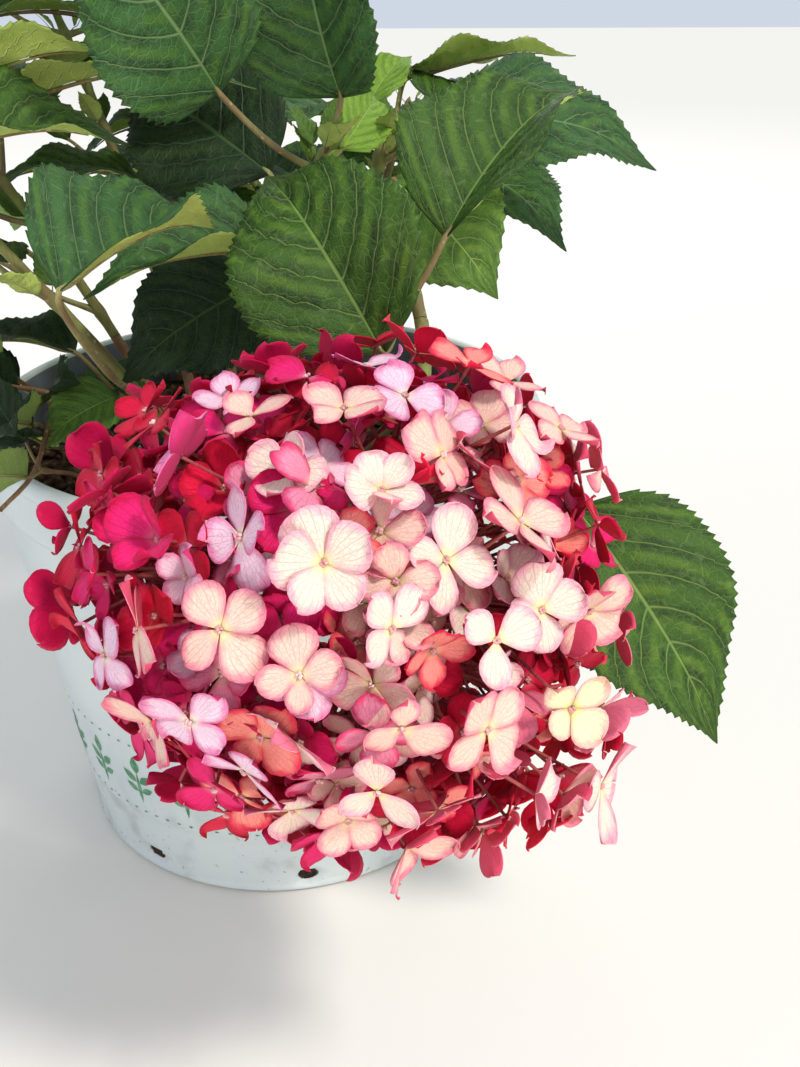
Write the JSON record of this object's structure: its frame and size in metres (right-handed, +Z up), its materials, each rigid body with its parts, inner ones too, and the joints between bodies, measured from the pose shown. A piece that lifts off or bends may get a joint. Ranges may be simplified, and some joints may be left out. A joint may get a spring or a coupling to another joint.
{
  "type": "potted hydrangea shrub",
  "caption": "Potted hydrangea shrub: a clump of leafy canes in a plain nursery pot, with a heavy round flower head arching over the rim.",
  "frame": {"origin": "centre of the pot's flat underside", "axes": "+Z up along the pot's axis, -Y towards the side that the large flower head hangs over"},
  "size_m": [0.3472, 0.4314, 0.4113],
  "materials": {
    "pot_plastic": "white moulded plastic, satin, with faint dirt low on the wall",
    "potting_mix": "dark damp crumbly potting mix",
    "cane_bark": "tan-brown bark with fine lengthwise cracks and pale pores",
    "bloom": "soft pink and coral sepals with paler faces and fine veins",
    "foliage": "large toothed leaves, bluish green with pale sunk veins, yellow-green below"
  },
  "bodies": {
    "root": {"pot": "pot_plastic", "potting_mix": "potting_mix", "cane_flower": "cane_bark", "cane_centre": "cane_bark", "cane_front_left": "cane_bark", "cane_front_right": "cane_bark", "cane_right": "cane_bark", "cane_left": "cane_bark", "cane_back_right": "cane_bark", "cane_back": "cane_bark", "cane_back_left": "cane_bark", "cane_tall": "cane_bark", "flower_head_front": "bloom", "flower_head_back": "bloom", "leaves_flower": "foliage", "leaves_centre": "foliage", "leaves_front_left": "foliage", "leaves_front_right": "foliage", "leaves_right": "foliage", "leaves_left": "foliage", "leaves_back_right": "foliage", "leaves_back": "foliage", "leaves_back_left": "foliage", "leaves_tall": "foliage"}
  },
  "joints": []
}
